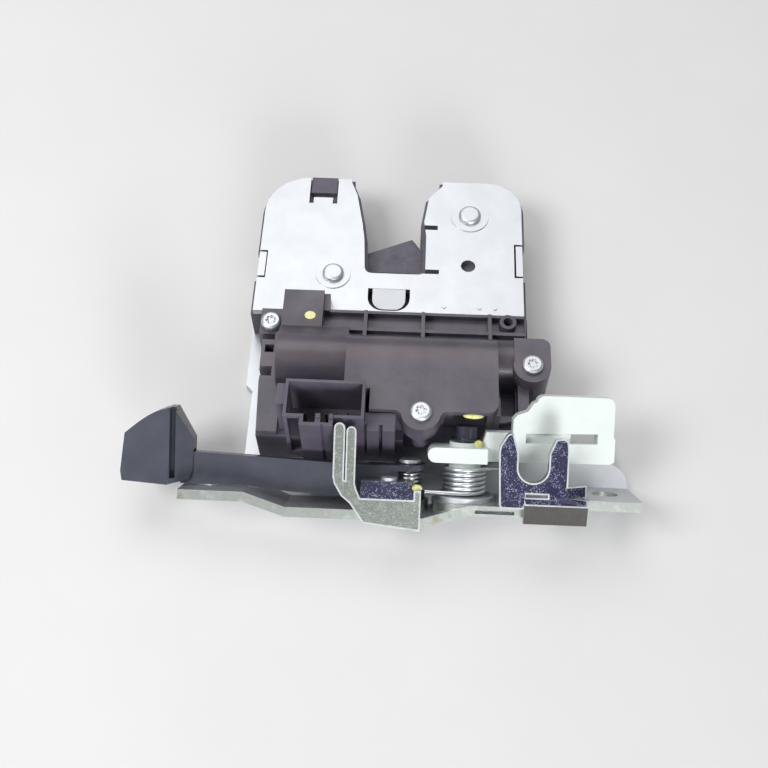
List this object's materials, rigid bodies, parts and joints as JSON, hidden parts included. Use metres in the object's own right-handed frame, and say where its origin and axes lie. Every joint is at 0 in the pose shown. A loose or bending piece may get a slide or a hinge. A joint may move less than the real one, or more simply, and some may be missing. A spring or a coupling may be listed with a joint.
{
  "type": "tailgate latch",
  "caption": "Vehicle tailgate latch: zinc lock plate over a rotary catch and pawl, drive housing with connector, cable release lever and sprung emergency arm on a folded frame.",
  "frame": {"origin": "axis of the striker bar when latched, in the plane of the mounting frame's underside", "axes": "+Z from the frame's underside towards the lock plate, +Y the way the striker leaves the throat, +X to the right of it"},
  "size_m": [0.1312, 0.1131, 0.03],
  "materials": {
    "zinc_plated_sheet": "zinc plated",
    "steel": "bright",
    "coated_steel": "black moulded coat",
    "dark_plastic": "fine grain",
    "plum_plastic": "fine grain",
    "black_plastic": "satin",
    "white_nylon": "satin",
    "violet_coated_steel": "dark passivated",
    "brass": "satin",
    "rubber": "matt"
  },
  "bodies": {
    "root": {"mounting_frame": "zinc_plated_sheet", "lock_plate": "zinc_plated_sheet", "housing_base": "dark_plastic", "housing_cover": "plum_plastic", "catch_rivet": "steel", "catch_spring": "steel", "pawl_rivet": "steel", "pawl_spring": "steel", "throat_buffer": "rubber", "motor": "steel", "worm_bearings": "white_nylon", "gear_axle": "steel", "catch_switch": "dark_plastic", "pawl_switch": "dark_plastic", "contact_pins": "brass", "contact_strips": "brass", "cover_screws": "steel", "lever_pin": "coated_steel", "lever_washer": "zinc_plated_sheet", "cable_fork": "violet_coated_steel", "fork_rivets": "steel", "arm_bracket": "zinc_plated_sheet", "bracket_rivet": "steel", "arm_pin": "steel"},
    "catch": {"rotary_catch": "coated_steel"},
    "pawl": {"pawl": "coated_steel"},
    "slider": {"release_slider": "white_nylon"},
    "worm": {"motor_worm": "brass"},
    "gear": {"worm_gear": "white_nylon"},
    "lever": {"release_lever": "white_nylon", "lever_spring": "steel"},
    "arm": {"emergency_arm": "black_plastic", "arm_wedge": "black_plastic", "arm_spring": "steel"}
  },
  "joints": [
    {"name": "catch_turn", "type": "hinge", "parent": "root", "child": "catch", "pos_m": [-0.017, -0.0079, 0.007], "axis": [0, 0, 1], "range_deg": [-40, 0], "stiffness_Nm_per_rad": 0.05, "springref_deg": 22.92},
    {"name": "pawl_turn", "type": "hinge", "parent": "root", "child": "pawl", "pos_m": [0.0217, 0.0144, 0.007], "axis": [0, 0, 1], "range_deg": [-7.3, 8.1], "stiffness_Nm_per_rad": 0.05},
    {"name": "slider_slide", "type": "slide", "parent": "root", "child": "slider", "axis": [0, 1, 0], "range_m": [-0.0009, 0.001]},
    {"name": "gear_spin", "type": "hinge", "parent": "root", "child": "gear", "pos_m": [0.016, -0.0471, 0.0175], "axis": [0, 0, 1], "continuous": true},
    {"name": "worm_spin", "type": "hinge", "parent": "root", "child": "worm", "pos_m": [0.01, -0.0383, 0.0175], "axis": [1, 0, 0], "continuous": true},
    {"name": "lever_pull", "type": "hinge", "parent": "root", "child": "lever", "pos_m": [0.0207, -0.06405, 0.01626], "axis": [0, 0.8192, 0.5736], "range_deg": [-12, 0], "stiffness_Nm_per_rad": 0.05, "springref_deg": 22.92},
    {"name": "arm_push", "type": "hinge", "parent": "root", "child": "arm", "pos_m": [0.0067, -0.06835, 0.0102], "axis": [0, 0.8192, 0.5736], "range_deg": [-5, 0], "stiffness_Nm_per_rad": 0.05, "springref_deg": 17.19}
  ],
  "couplings": [
    {"joint": "slider_slide", "follows": "pawl_turn", "m_per_rad": 0.007},
    {"joint": "worm_spin", "follows": "gear_spin", "ratio": 20}
  ]
}
